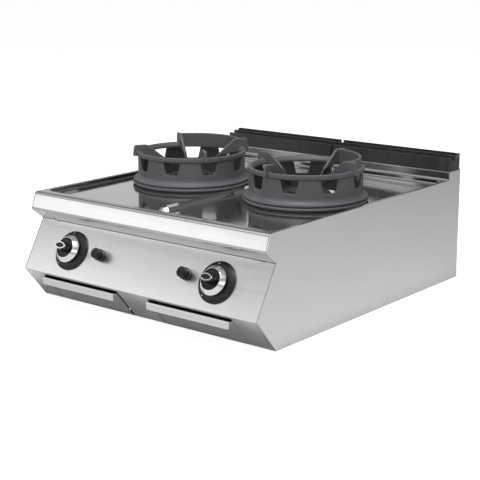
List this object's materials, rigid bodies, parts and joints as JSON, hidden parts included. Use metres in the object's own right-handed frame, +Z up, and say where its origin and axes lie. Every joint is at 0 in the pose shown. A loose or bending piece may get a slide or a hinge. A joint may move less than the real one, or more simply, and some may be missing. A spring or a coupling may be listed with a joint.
{
  "type": "wok range",
  "caption": "Counter-top gas range in stainless sheet with a pressed well, cast-iron wok rings on notched burner skirts, push-and-turn knobs, push igniters, drip drawers and a rear flue guard.",
  "frame": {"origin": "bottom centre of the whole outline, on the surface the range stands on", "axes": "+X to the right seen from the front, +Y to the back, +Z up"},
  "size_m": [0.8, 0.942, 0.3965],
  "materials": {
    "brushed_stainless": "satin brushed sheet",
    "polished_stainless": "bright polished pressed sheet",
    "inner_steel": "plain galvanised sheet and tube",
    "bowl_steel": "bright pressed dish",
    "cast_iron": "sand cast, blackened",
    "flue_iron": "sand cast, black stove enamel",
    "brass": "turned and tumbled",
    "steel_fastener": "zinc plated",
    "chrome_trim": "bright plated",
    "black_bezel": "moulded, fine satin",
    "black_knob": "moulded phenolic",
    "black_button": "moulded",
    "ceramic": "fired white ceramic, glazed"
  },
  "bodies": {
    "casing": {"air_shutters": "inner_steel", "apron_panel": "brushed_stainless", "back_panel": "brushed_stainless", "burner_body_left": "cast_iron", "burner_body_right": "cast_iron", "burner_feed_pipes": "inner_steel", "burner_ring_left": "cast_iron", "burner_ring_right": "cast_iron", "control_panel": "brushed_stainless", "cross_rails": "inner_steel", "drawer_runners": "inner_steel", "fascia_screws": "steel_fastener", "flue_duct": "brushed_stainless", "gas_inlet": "brass", "gas_manifold": "inner_steel", "gas_tap_left": "brass", "gas_tap_right": "brass", "hob_top": "polished_stainless", "igniter_housing_left": "black_button", "igniter_housing_right": "black_button", "igniter_nuts": "steel_fastener", "ignition_electrodes": "ceramic", "injector_left": "brass", "injector_right": "brass", "knob_bezel_left": "black_bezel", "knob_bezel_right": "black_bezel", "left_side_panel": "brushed_stainless", "mixing_tube_left": "cast_iron", "mixing_tube_right": "cast_iron", "pilot_burners": "brass", "right_side_panel": "brushed_stainless", "spill_bowl_left": "bowl_steel", "spill_bowl_right": "bowl_steel", "thermocouples": "steel_fastener"},
    "drawer_left": {"drip_tray_left": "inner_steel", "drawer_front_left": "brushed_stainless"},
    "skirt_left": {"wok_skirt_left": "cast_iron"},
    "ring_left": {"wok_ring_left": "cast_iron"},
    "cap_left": {"burner_cap_left": "cast_iron"},
    "guard_left": {"flue_guard_left": "flue_iron"},
    "push_cup_left": {"tap_spring_cup_left": "steel_fastener"},
    "control_left": {"tap_spindle_left": "steel_fastener", "knob_left": "black_knob", "knob_collar_left": "chrome_trim", "knob_trim_left": "chrome_trim"},
    "igniter_left": {"igniter_button_left": "black_button"},
    "drawer_right": {"drip_tray_right": "inner_steel", "drawer_front_right": "brushed_stainless"},
    "skirt_right": {"wok_skirt_right": "cast_iron"},
    "ring_right": {"wok_ring_right": "cast_iron"},
    "cap_right": {"burner_cap_right": "cast_iron"},
    "guard_right": {"flue_guard_right": "flue_iron"},
    "push_cup_right": {"tap_spring_cup_right": "steel_fastener"},
    "control_right": {"tap_spindle_right": "steel_fastener", "knob_right": "black_knob", "knob_collar_right": "chrome_trim", "knob_trim_right": "chrome_trim"},
    "igniter_right": {"igniter_button_right": "black_button"}
  },
  "joints": [
    {"name": "drawer_slide_left", "type": "slide", "parent": "casing", "child": "drawer_left", "axis": [0, -1, 0], "range_m": [0, 0.4]},
    {"name": "skirt_lift_left", "type": "slide", "parent": "casing", "child": "skirt_left", "axis": [0, 0, 1], "range_m": [0, 0.12]},
    {"name": "ring_turn_left", "type": "hinge", "parent": "skirt_left", "child": "ring_left", "pos_m": [-0.2, 0.0005, 0.358], "axis": [0, 0, 1], "continuous": true},
    {"name": "cap_lift_left", "type": "slide", "parent": "casing", "child": "cap_left", "axis": [0, 0, 1], "range_m": [0, 0.15]},
    {"name": "guard_lift_left", "type": "slide", "parent": "casing", "child": "guard_left", "axis": [0, 0, 1], "range_m": [0, 0.1]},
    {"name": "knob_push_left", "type": "slide", "parent": "casing", "child": "push_cup_left", "axis": [0, 0.867, -0.4983], "range_m": [0, 0.003], "stiffness_N_per_m": 2500, "springref_m": -0.003},
    {"name": "knob_turn_left", "type": "hinge", "parent": "push_cup_left", "child": "control_left", "pos_m": [-0.25, -0.423, 0.1505], "axis": [0, -0.867, 0.4983], "range_deg": [0, 210]},
    {"name": "igniter_push_left", "type": "slide", "parent": "casing", "child": "igniter_left", "axis": [0, 0.867, -0.4983], "range_m": [0, 0.006], "stiffness_N_per_m": 600, "springref_m": -0.004},
    {"name": "drawer_slide_right", "type": "slide", "parent": "casing", "child": "drawer_right", "axis": [0, -1, 0], "range_m": [0, 0.4]},
    {"name": "skirt_lift_right", "type": "slide", "parent": "casing", "child": "skirt_right", "axis": [0, 0, 1], "range_m": [0, 0.12]},
    {"name": "ring_turn_right", "type": "hinge", "parent": "skirt_right", "child": "ring_right", "pos_m": [0.2, 0.0005, 0.358], "axis": [0, 0, 1], "continuous": true},
    {"name": "cap_lift_right", "type": "slide", "parent": "casing", "child": "cap_right", "axis": [0, 0, 1], "range_m": [0, 0.15]},
    {"name": "guard_lift_right", "type": "slide", "parent": "casing", "child": "guard_right", "axis": [0, 0, 1], "range_m": [0, 0.1]},
    {"name": "knob_push_right", "type": "slide", "parent": "casing", "child": "push_cup_right", "axis": [0, 0.867, -0.4983], "range_m": [0, 0.003], "stiffness_N_per_m": 2500, "springref_m": -0.003},
    {"name": "knob_turn_right", "type": "hinge", "parent": "push_cup_right", "child": "control_right", "pos_m": [0.25, -0.423, 0.1505], "axis": [0, -0.867, 0.4983], "range_deg": [0, 210]},
    {"name": "igniter_push_right", "type": "slide", "parent": "casing", "child": "igniter_right", "axis": [0, 0.867, -0.4983], "range_m": [0, 0.006], "stiffness_N_per_m": 600, "springref_m": -0.004}
  ]
}
